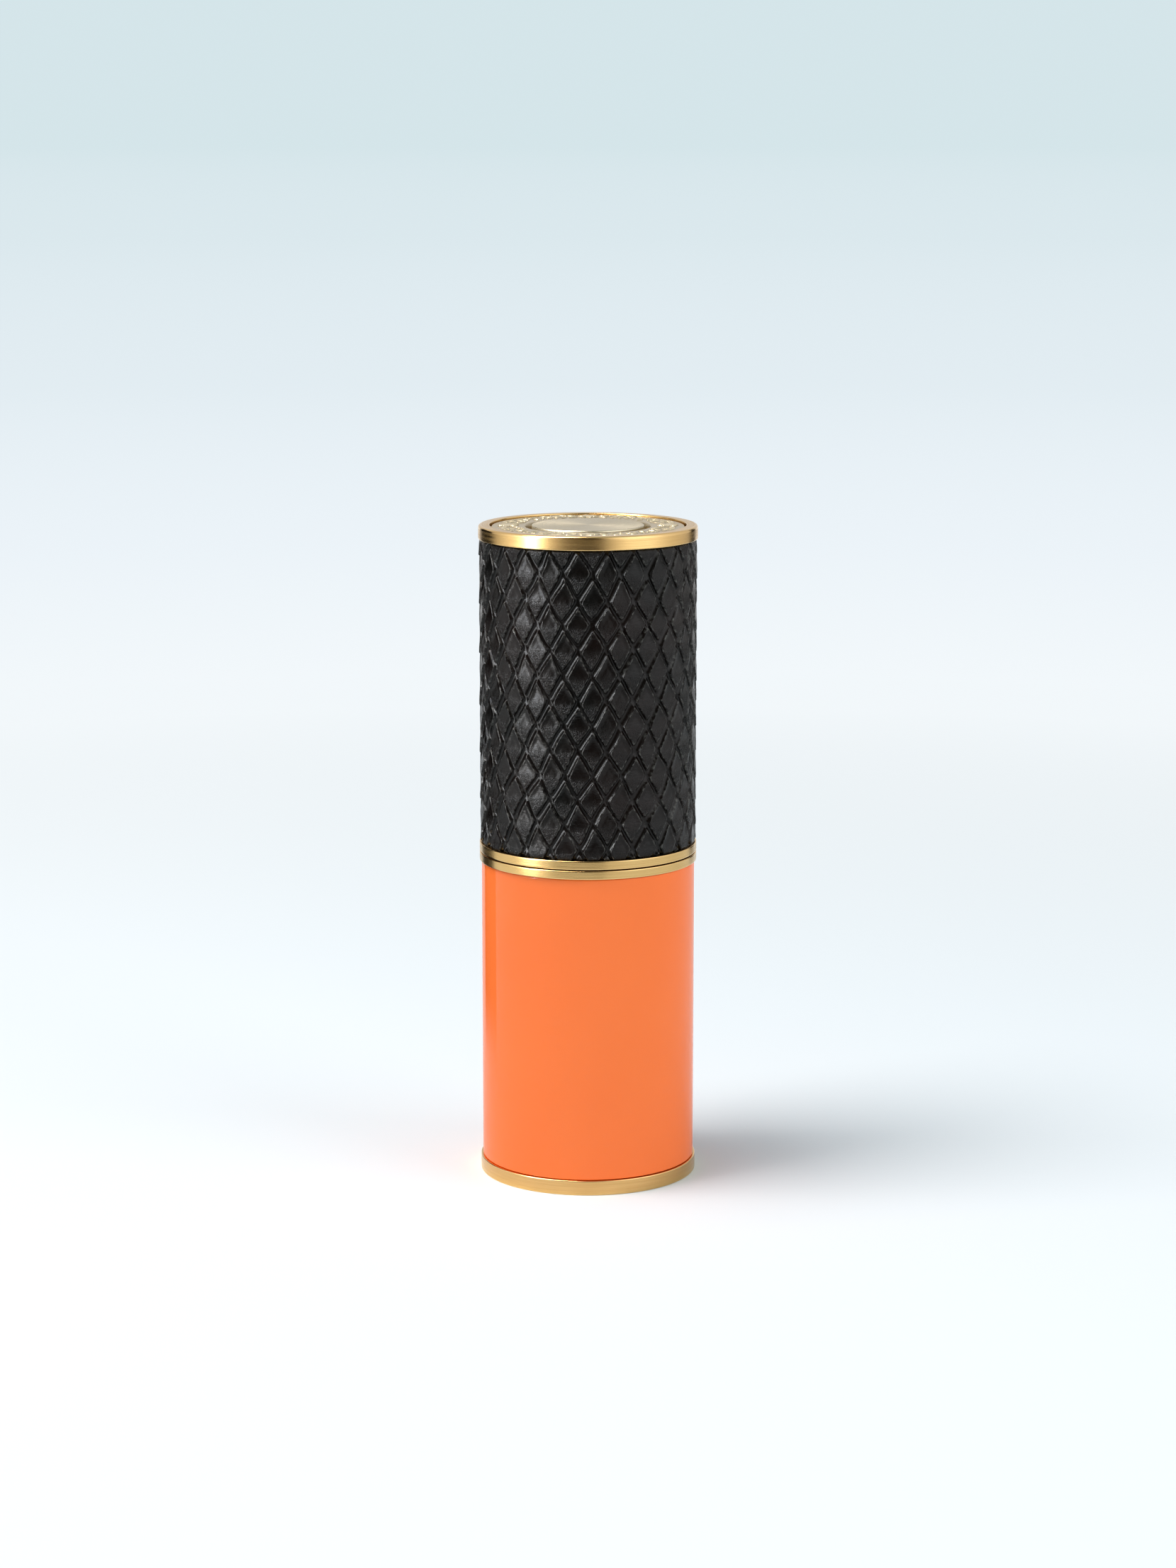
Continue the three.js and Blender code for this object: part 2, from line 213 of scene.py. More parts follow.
def lathe(name, points, segments=SEGMENTS):
    """Turns (radius, height, edge) points round the axis."""
    bm = bmesh.new()
    # Marks the rounded corners, where metal is polished and painted lighter as a highlight
    rubbed_and_highlight = bm.verts.layers.float.new("edge")
    rings = []
    for r, z, edge in points:
        count = 1 if on_axis((r, z)) else segments
        ring = []
        for k in range(count):
            angle = 2 * math.pi * k / segments
            vert = bm.verts.new((r * math.cos(angle), r * math.sin(angle), z))
            vert[rubbed_and_highlight] = edge
            ring.append(vert)
        rings.append(ring)
    open_ended = on_axis(points[0][:2]) or on_axis(points[-1][:2])
    for i in range(len(rings) - 1 if open_ended else len(rings)):
        low, high = rings[i], rings[(i + 1) % len(rings)]
        for k in range(segments):
            n = (k + 1) % segments
            below = [low[k % len(low)], low[n % len(low)]]
            above = [high[n % len(high)], high[k % len(high)]]
            corners = list(dict.fromkeys(below + above))
            if len(corners) > 2:
                bm.faces.new(corners)
    return place(bm, name)


def stand_for(piece, node, body, material):
    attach(piece, body)
    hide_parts(node)
    piece.data.materials.append(material)


def box_mm(node):
    low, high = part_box(node)
    return low / MM, high / MM


# ------------------------------------------------------------------------- colours

GOLD_COLOR = (0.71, 0.47, 0.19)
GOLD_DARK = (0.57, 0.36, 0.13)
PALE_COLOR = (0.53, 0.475, 0.34)
PALE_DARK = (0.47, 0.41, 0.31)
RELIEF_COLOR = (0.58, 0.49, 0.33)
# Painted highlight: raised parts of the relief lighter
RELIEF_PAINTED_HIGHLIGHT = (0.80, 0.69, 0.46)
# Painted shade: near-black in the relief's pits, a little on its ground
RELIEF_PAINTED_SHADE = (0.03, 0.018, 0.008)
LACQUER_COLOR = (1.0, 0.205, 0.046)
LACQUER_DEEP = (0.98, 0.192, 0.042)
LEATHER_COLOR = (0.0014, 0.0014, 0.0012)
LEATHER_BROWN = (0.0065, 0.0036, 0.0030)
LEATHER_SHINE = (1.0, 0.97, 0.9, 1.0)
# Lighter colour on the leather's crests: partly wear, partly a painted highlight
LEATHER_WEAR_AND_HIGHLIGHT = (0.13, 0.127, 0.116)
WAX_COLOR = (0.52, 0.045, 0.035)
WAX_DEEP = (0.45, 0.032, 0.028)
PAPER_COLOR = (0.86, 0.85, 0.81)
PAPER_SHADE = (0.74, 0.73, 0.69)
SILVER_COLOR = (0.62, 0.64, 0.66)
SILVER_DARK = (0.50, 0.52, 0.54)
STEEL_COLOR = (0.46, 0.47, 0.50)
STEEL_DARK = (0.33, 0.34, 0.36)
BLACK_PLASTIC = (0.012, 0.012, 0.012)
IVORY_PLASTIC = (0.74, 0.69, 0.58)
SILICONE = (0.62, 0.62, 0.60)

# ------------------------------------------------------------------------- material nodes


class Nodes:
    """Short ways to add nodes to a material."""

    def __init__(self, name):
        self.material = bpy.data.materials.new(name)
        self.material.use_nodes = True
        self.tree = self.material.node_tree

    def add(self, kind, inputs=(), **settings):
        node = self.tree.nodes.new(kind)
        for name, value in settings.items():
            setattr(node, name, value)
        for key, value in dict(inputs).items():
            if isinstance(value, bpy.types.NodeSocket):
                self.tree.links.new(value, node.inputs[key])
            else:
                node.inputs[key].default_value = value
        return node

    def math(self, operation, a, b=0.0):
        node = self.add("ShaderNodeMath", {0: a, 1: b}, operation=operation)
        return node.outputs[0]

    def range(self, value, low, high, start=0.0, end=1.0):
        node = self.add(
            "ShaderNodeMapRange",
            {"Value": value, "From Min": start, "From Max": end, "To Min": low, "To Max": high},
        )
        return node.outputs[0]

    def show(self, shader):
        self.tree.links.new(shader, self.tree.nodes["Material Output"].inputs["Surface"])


class Surface(Nodes):
    """A material with one Principled shader that varies over the object."""

    def __init__(self, name, color, **sockets):
        super().__init__(name)
        self.shader = self.tree.nodes["Principled BSDF"]
        self.set("Base Color", (*color, 1))
        for socket, value in sockets.items():
            self.set(socket.replace("_", " "), value)
        self.object_xyz = self.add("ShaderNodeTexCoord").outputs["Object"]

    def set(self, socket, value):
        self.shader.inputs[socket].default_value = value

    def scaled(self, x, y, z, vector=None):
        """The object's coordinates, stretched: features per metre along each axis."""
        node = self.add(
            "ShaderNodeVectorMath", {0: vector or self.object_xyz, 1: (x, y, z)}, operation="MULTIPLY"
        )
        return node.outputs[0]

    def noise(self, vector, detail=2.0, roughness=0.5):
        node = self.add(
            "ShaderNodeTexNoise", {"Vector": vector, "Scale": 1, "Detail": detail, "Roughness": roughness}
        )
        return node.outputs["Fac"]

    def mix(self, factor, a, b):
        node = self.add("ShaderNodeMix", data_type="RGBA")
        for index, value in ((0, factor), (6, a), (7, b)):
            if isinstance(value, bpy.types.NodeSocket):
                self.tree.links.new(value, node.inputs[index])
            else:
                node.inputs[index].default_value = value if index == 0 else (*value, 1)
        return node.outputs[2]

    def attribute(self, name):
        return self.add("ShaderNodeAttribute", attribute_name=name).outputs["Fac"]

    def bump(self, height, distance, below=None):
        """Bump whose height of 1 stands distance millimetres proud."""
        inputs = {"Height": height, "Distance": distance * MM}
        if below:
            inputs["Normal"] = below
        return self.add("ShaderNodeBump", inputs).outputs[0]

    def feed(self, socket, value):
        self.tree.links.new(value, self.shader.inputs[socket])

    def around(self, fine, coarse):
        """Coordinates for marks that run round the axis, on walls and on faces alike."""
        parts = self.add("ShaderNodeSeparateXYZ", {0: self.object_xyz}).outputs
        x_square = self.math("MULTIPLY", parts[0], parts[0])
        y_square = self.math("MULTIPLY", parts[1], parts[1])
        square = self.math("ADD", x_square, y_square)
        across = self.math("ADD", self.math("SQRT", square), parts[2])
        joined = self.add("ShaderNodeCombineXYZ", {0: parts[0], 1: parts[1], 2: across})
        return self.scaled(coarse, coarse, fine, joined.outputs[0])


def brushed(name, color, dark, roughness, marks=0.002):
    """Metal turned and brushed round the axis, with polished edges painted lighter as a highlight, and a
    faint stain.
    """
    s = Surface(name, color, Metallic=1.0, Anisotropic=0.45)
    lines = s.noise(s.around(11000, 130), detail=3)
    stain = s.noise(s.scaled(260, 260, 260), detail=3)
    edge = s.attribute("edge")
    brushed_tone = s.mix(s.range(lines, 0, 0.55, 0.4, 0.65), color, dark)
    tone = s.mix(s.range(stain, 0, 0.5, 0.4, 0.75), brushed_tone, dark)
    # Painted highlight: rounded edges a little lighter in colour; their lower roughness is the real
    # polish
    edge_highlight_color = tuple(min(1, c * 1.12 + 0.03) for c in color)
    s.feed("Base Color", s.mix(s.math("MULTIPLY", edge, 0.6), tone, edge_highlight_color))
    streaked = s.range(lines, roughness * 0.75, roughness * 1.3, 0.3, 0.7)
    s.feed("Roughness", s.math("SUBTRACT", streaked, s.math("MULTIPLY", edge, roughness * 0.35)))
    s.feed("Normal", s.bump(lines, marks))
    return s.material


def lacquer():
    """Glossy lacquer under a clear coat, with a very slight orange peel."""
    s = Surface(
        "orange_lacquer_coated",
        LACQUER_COLOR,
        Specular_IOR_Level=0.0,
        Coat_Weight=0.65,
        Coat_Roughness=0.03,
        Coat_IOR=1.42,
    )
    peel = s.noise(s.scaled(900, 900, 900), detail=1)
    cloud = s.noise(s.scaled(70, 70, 70), detail=2)
    s.feed("Base Color", s.mix(s.range(cloud, 0, 1, 0.3, 0.7), LACQUER_COLOR, LACQUER_DEEP))
    dust = s.noise(s.scaled(5200, 5200, 5200), detail=2)
    s.feed("Roughness", s.range(dust, 0.27, 0.4, 0.35, 0.65))
    s.feed("Normal", s.bump(peel, 0.004))
    s.feed("Coat Normal", s.bump(peel, 0.0015))
    return s.material


def leather():
    """Black embossed leather: fine grain and creases on the scales, crests painted lighter, partly as
    wear and partly as a painted highlight.
    """
    s = Surface(
        "black_leather_embossed",
        LEATHER_COLOR,
        Specular_IOR_Level=0.08,
        Specular_Tint=LEATHER_SHINE,
        Coat_Weight=0.34,
        Coat_Roughness=0.15,
        Coat_IOR=1.42,
    )
    crest = s.attribute("crest")
    low = s.attribute("low")
    tint = s.noise(s.scaled(150, 150, 150), detail=3)
    skin = s.mix(s.range(tint, 0, 1, 0.35, 0.7), LEATHER_COLOR, LEATHER_BROWN)
    # Painted highlight and wear: the crests are lightened, broken up by noise
    rub_and_shine_noise = s.noise(s.scaled(2600, 2600, 2600), detail=3)
    rubbed_and_highlight = s.math("MULTIPLY", crest, s.range(rub_and_shine_noise, 0, 0.8, 0.45, 0.7))
    s.feed("Base Color", s.mix(rubbed_and_highlight, skin, LEATHER_WEAR_AND_HIGHLIGHT))
    grain = s.noise(s.scaled(5200, 5200, 6500), detail=3, roughness=0.65)
    creases = s.noise(s.scaled(900, 900, 3300), detail=3, roughness=0.6)
    pores = s.add(
        "ShaderNodeTexVoronoi",
        {"Vector": s.scaled(5600, 5600, 5600), "Scale": 1},
        feature="DISTANCE_TO_EDGE",
    )
    cracks = s.range(pores.outputs["Distance"], 0, 1, 0, 0.16)
    crackled = s.math("MULTIPLY", s.math("SUBTRACT", cracks, 1), low)
    fine = s.bump(grain, 0.007)
    creased = s.bump(s.math("MULTIPLY", creases, s.range(low, 0.25, 1)), 0.11, fine)
    skin_normal = s.bump(crackled, 0.022, creased)
    s.feed("Normal", skin_normal)
    s.feed("Coat Normal", skin_normal)
    patch = s.noise(s.scaled(700, 700, 500), detail=2)
    s.feed("Roughness", s.range(patch, 0.24, 0.36, 0.3, 0.7))
    return s.material


def relief_metal():
    """Polished relief, with painted shade darkening its hollows and its raised parts painted lighter as a
    highlight.
    """
    s = Surface("relief_gold_painted_shade", RELIEF_COLOR, Metallic=1.0)
    height = s.attribute("relief")
    # Painted shade: the lower the relief, the darker, near-black in its pits
    hollow_shade = s.range(height, 1, 0, -0.1, 0.02)
    lines = s.noise(s.scaled(4000, 4000, 4000), detail=3)
    # Painted highlight: the higher the relief, the lighter
    tone = s.mix(s.range(height, 0, 1, 0.01, 0.12), RELIEF_COLOR, RELIEF_PAINTED_HIGHLIGHT)
    s.feed("Base Color", s.mix(s.math("MULTIPLY", hollow_shade, 0.96), tone, RELIEF_PAINTED_SHADE))
    s.feed("Roughness", s.range(lines, 0.26, 0.36, 0.3, 0.7))
    s.feed("Normal", s.bump(lines, 0.0015))
    return s.material


def moulded(name, color, roughness, **sockets):
    """Satin moulded plastic with a spark-eroded grain and faint flow marks."""
    s = Surface(name, color, **sockets)
    grain = s.noise(s.scaled(6000, 6000, 6000), detail=3)
    flow = s.noise(s.scaled(300, 300, 60), detail=2)
    deep = tuple(c * 0.82 for c in color)
    s.feed("Base Color", s.mix(s.range(flow, 0, 1, 0.35, 0.7), color, deep))
    s.feed("Roughness", s.range(grain, roughness * 0.85, roughness * 1.2, 0.3, 0.7))
    s.feed("Normal", s.bump(grain, 0.006))
    return s.material


def wax():
    """Lipstick: a smooth moulded skin with a soft sheen and slight pour marks."""
    s = Surface(
        "lipstick_wax_moulded",
        WAX_COLOR,
        Subsurface_Weight=0.12,
        Subsurface_Scale=0.0012,
        Specular_IOR_Level=0.45,
    )
    pour = s.noise(s.scaled(240, 240, 420), detail=3)
    skin = s.noise(s.scaled(2600, 2600, 2600), detail=2)
    s.feed("Base Color", s.mix(s.range(pour, 0, 1, 0.35, 0.7), WAX_COLOR, WAX_DEEP))
    s.feed("Roughness", s.range(skin, 0.26, 0.42, 0.3, 0.7))
    s.feed("Normal", s.bump(skin, 0.004))
    return s.material


def paper():
    """Matt label paper with its fibres."""
    s = Surface("paper_fibrous", PAPER_COLOR)
    fibres = s.noise(s.scaled(2200, 900, 2200), detail=5, roughness=0.7)
    s.feed("Base Color", s.mix(s.range(fibres, 0, 1, 0.35, 0.7), PAPER_COLOR, PAPER_SHADE))
    s.feed("Roughness", s.range(fibres, 0.75, 0.95, 0.3, 0.7))
    s.feed("Normal", s.bump(fibres, 0.01))
    return s.material


LOOKS = {
    "gold": brushed("gold_brushed", GOLD_COLOR, GOLD_DARK, 0.2),
    "pale_gold": brushed("pale_gold_satin", PALE_COLOR, PALE_DARK, 0.4),
    "relief_gold": relief_metal(),
    "gold_aluminium": brushed("gold_aluminium_polished", GOLD_COLOR, GOLD_DARK, 0.15, 0.001),
    "orange_lacquer": lacquer(),
    "black_leather": leather(),
    "aluminium": brushed("aluminium_drawn", SILVER_COLOR, SILVER_DARK, 0.32, 0.004),
    "steel": brushed("steel_zinc_plated", STEEL_COLOR, STEEL_DARK, 0.38, 0.004),
    "black_plastic": moulded("black_plastic_moulded", BLACK_PLASTIC, 0.42),
    "ivory_plastic": moulded(
        "ivory_plastic_moulded", IVORY_PLASTIC, 0.4, Subsurface_Weight=0.05, Subsurface_Scale=0.001
    ),
    "silicone": moulded(
        "silicone_matt", SILICONE, 0.6, Subsurface_Weight=0.2, Subsurface_Scale=0.001
    ),
    "lipstick_wax": wax(),
    "paper": paper(),
}

SLOT_OF = {part["node"]: part["material_slot"] for part in frame["record"]["subparts"]}
BODY_OF = {
    node: body for body, nodes in frame["record"]["behaviour"]["bodies"].items() for node in nodes
}

# ------------------------------------------------------------------------- turned pieces placed

# How far each piece's corners are rounded, and the same for the rim of the top
METAL_EDGE = 0.1
PAPER_EDGE = 0.03
SHELL_EDGE = 0.14
SOFT_EDGE = 0.2
TOP_RIM_EDGE = 0.36
TOP_RIM_REACH = 0.05

TURNED = {
    "foot_ring": METAL_EDGE,
    "bottom_disc": METAL_EDGE,
    "bottom_label": PAPER_EDGE,
    "base_weight": METAL_EDGE,
    "base_shell": SHELL_EDGE,
    "base_liner": METAL_EDGE,
    "centring_ring": METAL_EDGE,
    "collar_ring": METAL_EDGE,
    "refill_foot": 0.3,
    "refill_label": PAPER_EDGE,
    "brake_ring": SOFT_EDGE,
    "guide_sleeve": 0.15,
    "cap_ring": METAL_EDGE,
    "cap_shell": METAL_EDGE,
    "cap_liner": SOFT_EDGE,
    "top_pan": METAL_EDGE,
    "medallion": 0.16,
}


def turned(node, edge):
    def radius(r, z):
        at_top_rim = r > CASE_R - TOP_RIM_REACH and z > CASE_TOP - TOP_RIM_REACH
        return TOP_RIM_EDGE if at_top_rim and node == "top_pan" else edge

    piece = lathe(node + "_turned", rounded(section(node), radius))
    slot = SLOT_OF[node]
    stand_for(piece, node, BODY_OF[node], LOOKS[slot])


for turned_node, turned_edge in TURNED.items():
    turned(turned_node, turned_edge)

# The mechanism's moulded pieces keep their CAD shapes
for kept_node in ("inner_body", "spiral", "elevator_cup"):
    for kept_slot in frame["nodes"][kept_node].material_slots:
        kept_slot.material = LOOKS[SLOT_OF[kept_node]]

# ------------------------------------------------------------------------- leather wrap

SCALES_ROUND = 24
ROW_HEIGHT = 5.66
SEAM_ANGLE = math.pi / 2  # at the back
SEAM_GAP = 0.05
WRAP_BACK_R = 11.5
FLOOR_DEPTH = 0.33  # channels below the wrap's outer radius
FIRST_SCALE_AZIMUTH = math.radians(-5.2)
FIRST_SCALE_HEIGHT = 59.8
# Distances in from a scale's border and the surface's height there
BORDER_PROFILE = (
    (0.0, 0.0),
    (0.19, 0.012),
    (0.25, 0.22),
    (0.3, 0.37),
    (0.36, 0.38),
    (0.5, 0.33),
    (0.9, 0.33),
)
SCALE_DOME = 0.05
# Room taken from a scale at its channels that fall to the right, and at those that rise
FALLING_CHANNEL = -0.05
RISING_CHANNEL = 0.09
CORNER_SHARPNESS = 5.5
CORNER_BLUNTING = 3.0  # less sharp at a scale's lower corner
CHANNEL_SWELL = 0.28
CHANNEL_SWELL_SIZE = 2.1
LOWER_NARROWING = 0.1
# Heights that vary from scale to scale or over one scale
SCALE_LIFT = 0.035
SCALE_LEAN = 0.07
SCALE_BELLY = 0.16
BELLY_BASE = 0.09
SCALE_CRUMPLE = 0.028
SKIN_BUMPS = 0.02
SKIN_BUMP_SIZE = 0.7
# Drift of the lattice, over long and over short stretches
LONG_DRIFT_SIZE = 5.2
SHORT_DRIFT_SIZE = 1.6
SIDEWAYS_DRIFT = (0.34, 0.09)
UPWARD_DRIFT = (0.42, 0.1)
# Insets of the mesh lines along the sheet's borders, and how far its borders drop
BORDER_STEPS = (0.08, 0.22)
BORDER_DROP = 0.16

wrap_low, wrap_high = box_mm("leather_wrap")
WRAP_R = wrap_high.x
CHANNEL_R = WRAP_R - FLOOR_DEPTH
WRAP_BOTTOM, WRAP_TOP = wrap_low.z, wrap_high.z
SHEET_LENGTH = 2 * math.pi * CHANNEL_R - SEAM_GAP
SCALE_WIDTH = 2 * math.pi * CHANNEL_R / SCALES_ROUND
SCALE_ACROSS = SCALE_WIDTH * ROW_HEIGHT / math.hypot(SCALE_WIDTH, ROW_HEIGHT)
# The front is half a turn on from the seam
FIRST_SCALE_X = (math.pi + FIRST_SCALE_AZIMUTH) * CHANNEL_R


def smooth(x, start, end):
    t = min(1.0, max(0.0, (x - start) / (end - start)))
    return t * t * (3 - 2 * t)


def scale_knots(widening):
    """Places of the mesh lines across one scale, from border to border, as shares."""
    near = [0.0] + [(d + widening) / SCALE_ACROSS for d, _ in BORDER_PROFILE[1:]]
    return near + [0.5] + [1 - k for k in reversed(near[1:])]


def border_height(d):
    """Height over the channel floor at d from the border."""
    for (d0, h0), (d1, h1) in zip(BORDER_PROFILE, BORDER_PROFILE[1:]):
        if d < d1:
            return h0 + (h1 - h0) * smooth(d, d0, d1)
    last_d, last_h = BORDER_PROFILE[-1]
    return last_h + SCALE_DOME * smooth(d, last_d, SCALE_ACROSS / 2)


def rounded_distance(p, q, sharpness):
    """The lesser of two distances, with the corner between them rounded."""
    if min(p, q) <= 0:
        return 0.0
    return (p**-sharpness + q**-sharpness) ** (-1 / sharpness)


def wobble(x, z, size, seed):
    """Smooth noise on the rolled-up sheet, from -1 to 1."""
    angle = x / CHANNEL_R
    point = Vector((CHANNEL_R * math.cos(angle), CHANNEL_R * math.sin(angle), z)) / size
    return noise.noise(point + Vector((seed * 17.3, seed * 5.1, seed * 9.7)))


def drift(x, z, long_part, short_part, seed):
    far = long_part * wobble(x, z, LONG_DRIFT_SIZE, seed)
    return far + short_part * wobble(x, z, SHORT_DRIFT_SIZE, seed + 1)


def lattice_place(a, b):
    """Where lattice place (a, b) is on the sheet; whole numbers are scale centres."""
    x = FIRST_SCALE_X + (a - b) / 2 * SCALE_WIDTH
    z = FIRST_SCALE_HEIGHT + (a + b) / 2 * ROW_HEIGHT
    return x, z


def sheet_point(a, b):
    """Sheet place, height and wear at lattice place (a, b)."""
    cell_a, cell_b = round(a), round(b)
    s, t = a - cell_a, b - cell_b
    x, z = lattice_place(a, b)
    to_a = max(0, (0.5 - abs(s)) * SCALE_ACROSS - FALLING_CHANNEL)
    to_b = max(0, (0.5 - abs(t)) * SCALE_ACROSS - RISING_CHANNEL)
    # Lower corners are blunter, and channels swell and narrow along their way
    blunt = smooth(-(s + t), 0.35, 0.9)
    swell = 1 + CHANNEL_SWELL * wobble(x, z, CHANNEL_SWELL_SIZE, 1) - LOWER_NARROWING * blunt
    d = rounded_distance(to_a, to_b, CORNER_SHARPNESS - CORNER_BLUNTING * blunt) * swell
    inside = smooth(d, 0.2, 0.45)
    seed = cell_a * 3.7 + cell_b * 1.3
    lift = SCALE_LIFT * noise.noise(Vector((seed, 0.5, 0.5)))
    lean = SCALE_LEAN * noise.noise(Vector((0.5, seed, 0.5))) * (s - t)
    belly = SCALE_BELLY * smooth(-(s + t), -0.8, 0.75) - BELLY_BASE
    crumple = SCALE_CRUMPLE * noise.noise(Vector((x * 1.1, z * 3.4, seed)))
    height = border_height(d) + inside * (lift + lean + belly + crumple)
    height += SKIN_BUMPS * wobble(x, z, SKIN_BUMP_SIZE, 2)
    x += drift(x, z, *SIDEWAYS_DRIFT, seed=3)
    z += drift(x, z, *UPWARD_DRIFT, seed=5)
    crest = smooth(d, 0.24, 0.28) * (1 - smooth(d, 0.31, 0.38))
    low = inside * smooth(-(s + t), -0.15, 0.4)
    return Vector((x, height, z)), crest, low


def near_sheet(a, b):
    x, z = lattice_place(a, b)
    inside_x = -SCALE_WIDTH < x < SHEET_LENGTH + SCALE_WIDTH
    return inside_x and WRAP_BOTTOM - ROW_HEIGHT < z < WRAP_TOP + ROW_HEIGHT


def flat_sheet():
    """The cut sheet's outer face, unrolled: x along it, y its height, z up."""
    bm = bmesh.new()
    crest_layer = bm.verts.layers.float.new("crest")
    low_layer = bm.verts.layers.float.new("low")
    across_falling = scale_knots(FALLING_CHANNEL)
    across_rising = scale_knots(RISING_CHANNEL)
    steps = len(across_rising) - 1
    verts = {}

    def vert(i, j):
        if (i, j) not in verts:
            a = i // steps - 0.5 + across_falling[i % steps]
            b = j // steps - 0.5 + across_rising[j % steps]
            point, crest, low = sheet_point(a, b)
            verts[i, j] = bm.verts.new(point)
            verts[i, j][crest_layer] = crest
            verts[i, j][low_layer] = low
        return verts[i, j]

    reach = SCALES_ROUND + 8
    for a in range(-reach, reach):
        for b in range(-reach, reach):
            if not near_sheet(a, b):
                continue
            for i in range(a * steps, (a + 1) * steps):
                for j in range(b * steps, (b + 1) * steps):
                    bm.faces.new((vert(i, j), vert(i + 1, j), vert(i + 1, j + 1), vert(i, j + 1)))
    return bm


def slice_sheet(bm, point, normal, clear):
    bmesh.ops.bisect_plane(
        bm,
        geom=bm.verts[:] + bm.edges[:] + bm.faces[:],
        plane_co=point,
        plane_no=normal,
        clear_outer=clear,
    )


def trim_sheet(bm):
    """Cuts the sheet to its rectangle and rounds its borders down."""
    trims = (
        ((0, 0, 0), (-1, 0, 0)),
        ((SHEET_LENGTH, 0, 0), (1, 0, 0)),
        ((0, 0, WRAP_BOTTOM), (0, 0, -1)),
        ((0, 0, WRAP_TOP), (0, 0, 1)),
    )
    for point, normal in trims:
        slice_sheet(bm, point, normal, True)
    for inset in BORDER_STEPS:
        for point, normal in trims:
            slice_sheet(bm, Vector(point) - Vector(normal) * inset, normal, False)
    for vert in bm.verts:
        from_ends = min(vert.co.x, SHEET_LENGTH - vert.co.x)
        from_sides = min(vert.co.z - WRAP_BOTTOM, WRAP_TOP - vert.co.z)
        inset = min(from_ends, from_sides)
        vert.co.y -= BORDER_DROP * (1 - smooth(inset, 0, BORDER_STEPS[-1]))


def by(axis):
    return lambda vert: vert.co[axis]


def add_back(bm):
    """Turns the borders in and closes the back of the sheet."""
    borders = [edge for edge in bm.edges if edge.is_boundary]
    extruded = bmesh.ops.extrude_edge_only(bm, edges=borders)
    back = [item for item in extruded["geom"] if isinstance(item, bmesh.types.BMVert)]
    for vert in back:
        vert.co.y = WRAP_BACK_R - CHANNEL_R
    low = sorted((v for v in back if abs(v.co.z - WRAP_BOTTOM) < 1e-4), key=by(0))
    high = sorted((v for v in back if abs(v.co.z - WRAP_TOP) < 1e-4), key=by(0))
    left = sorted((v for v in back if abs(v.co.x) < 1e-4), key=by(2))
    right = sorted((v for v in back if abs(v.co.x - SHEET_LENGTH) < 1e-4), key=by(2))
    for one, two in zip(left, left[1:]):
        bm.faces.new((one, two, low[1]))
    for one, two in zip(right, right[1:]):
        bm.faces.new((one, two, low[-2]))
    i, j = 1, 0
    while i < len(low) - 2 or j < len(high) - 1:
        low_is_behind = i < len(low) - 2 and (j == len(high) - 1 or low[i].co.x <= high[j].co.x)
        if low_is_behind:
            bm.faces.new((low[i], low[i + 1], high[j]))
            i += 1
        else:
            bm.faces.new((low[i], high[j + 1], high[j]))
            j += 1


def roll_up(bm):
    for vert in bm.verts:
        angle = SEAM_ANGLE + (vert.co.x + SEAM_GAP / 2) / CHANNEL_R
        radius = CHANNEL_R + vert.co.y
        vert.co = Vector((radius * math.cos(angle), radius * math.sin(angle), vert.co.z))


sheet = flat_sheet()
trim_sheet(sheet)
add_back(sheet)
roll_up(sheet)
wrap = place(sheet, "leather_wrap_embossed", 75)
stand_for(wrap, "leather_wrap", "cap", LOOKS["black_leather"])

# ------------------------------------------------------------------------- relief band

BAND_RADIAL_STEPS = 56
BAND_ROUND_STEPS = 900
BAND_GROUND = 0.2  # below the case's top
BAND_INNER = 7.15
BAND_RIM = 0.1  # width and depth of the band's rounded rims
RELIEF_HEIGHT = 0.14
REPEATS = 4
PETALS = 6
PETAL_TURN = 12  # degrees
PIT_DEPTH = 0.16
SMALL_PIT_DEPTH = 0.15
SCROLL_STEPS = 22
SCROLL_CLOSING = 0.82  # share of its radius that a scroll loses on its way in
RIDGE_TAPER = 0.45
CREASE_WIDTH = 0.06
CREASE_DEPTH = 0.4  # share of a leaf's height
band_low, band_high = box_mm("ornament_ring")
BAND_OUTER = band_high.x
BAND_MIDDLE = (BAND_OUTER + BAND_INNER) / 2


